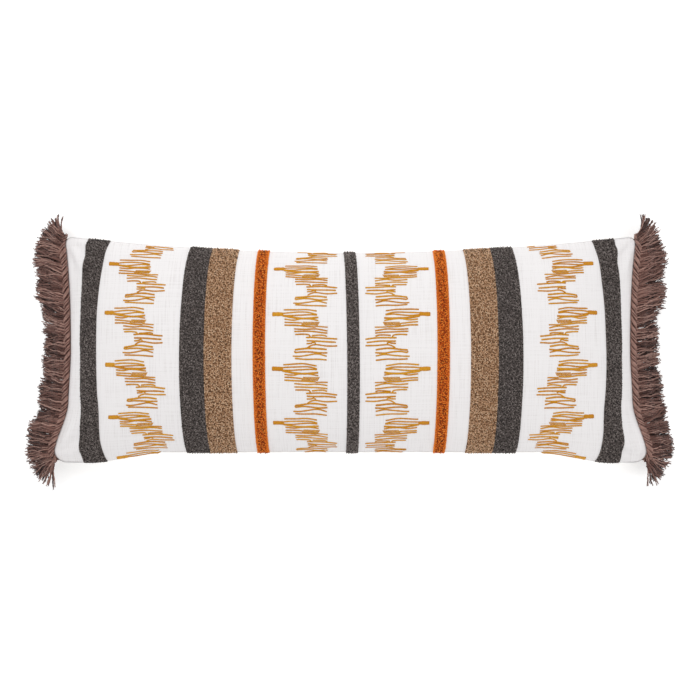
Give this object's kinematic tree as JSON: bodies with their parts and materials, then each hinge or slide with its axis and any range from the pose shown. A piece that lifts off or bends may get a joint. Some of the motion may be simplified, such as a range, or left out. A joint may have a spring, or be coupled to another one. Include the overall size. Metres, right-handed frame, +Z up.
{
  "type": "throw pillow",
  "caption": "Long lumbar throw pillow with looped-pile stripes, zig-zag embroidery, plaited fringe at both ends and a zip in the lower long seam.",
  "frame": {"origin": "centre of the footprint, on the surface that the pillow lies on", "axes": "+X along the pillow, +Y across it away from the zip seam, +Z up, out of the patterned front"},
  "size_m": [1.0278, 0.4244, 0.1204],
  "materials": {
    "cover_cloth": "slub-woven cotton, matt",
    "insert_casing": "plain woven, matt",
    "fibre": "polyester fibre",
    "gray_pile": "looped pile",
    "rust_pile": "looped pile",
    "tan_pile": "looped pile",
    "gold_thread": "satin-stitched thread, slight sheen",
    "fringe_yarn": "plied cotton yarn",
    "zip_tape": "woven tape",
    "zip_nylon": "nylon monofilament",
    "zip_metal": "plated zinc, satin",
    "label_cloth": "satin tape, blank"
  },
  "bodies": {
    "cover": {"front_panel": "cover_cloth", "back_panel": "cover_cloth", "insert_front": "insert_casing", "insert_back": "insert_casing", "fibre_fill": "fibre", "centre_stripe": "gray_pile", "rust_stripe_left": "rust_pile", "rust_stripe_right": "rust_pile", "tan_stripe_left": "tan_pile", "tan_stripe_right": "tan_pile", "gray_stripe_left": "gray_pile", "gray_stripe_right": "gray_pile", "end_gray_stripe_left": "gray_pile", "end_gray_stripe_right": "gray_pile", "embroidery_outer_left": "gold_thread", "embroidery_inner_left": "gold_thread", "embroidery_inner_right": "gold_thread", "embroidery_outer_right": "gold_thread", "fringe_tape_left": "fringe_yarn", "fringe_tape_right": "fringe_yarn", "fringe_braid_left": "fringe_yarn", "fringe_braid_right": "fringe_yarn", "fringe_yarn_left": "fringe_yarn", "fringe_yarn_right": "fringe_yarn", "zip_tape_upper": "zip_tape", "zip_tape_lower": "zip_tape", "zip_coil_upper": "zip_nylon", "zip_coil_lower": "zip_nylon", "zip_top_stop": "zip_metal", "zip_bottom_stop": "zip_metal", "care_label": "label_cloth"},
    "slider": {"zip_slider": "zip_metal"},
    "pull": {"zip_pull": "zip_metal"}
  },
  "joints": [
    {"name": "zip_slide", "type": "slide", "parent": "cover", "child": "slider", "axis": [-1, 0, 0], "range_m": [0, 0.54]},
    {"name": "pull_swing", "type": "hinge", "parent": "slider", "child": "pull", "pos_m": [0.27, -0.1606, 0.052], "axis": [0, 0, 1], "range_deg": [0, 180]}
  ]
}
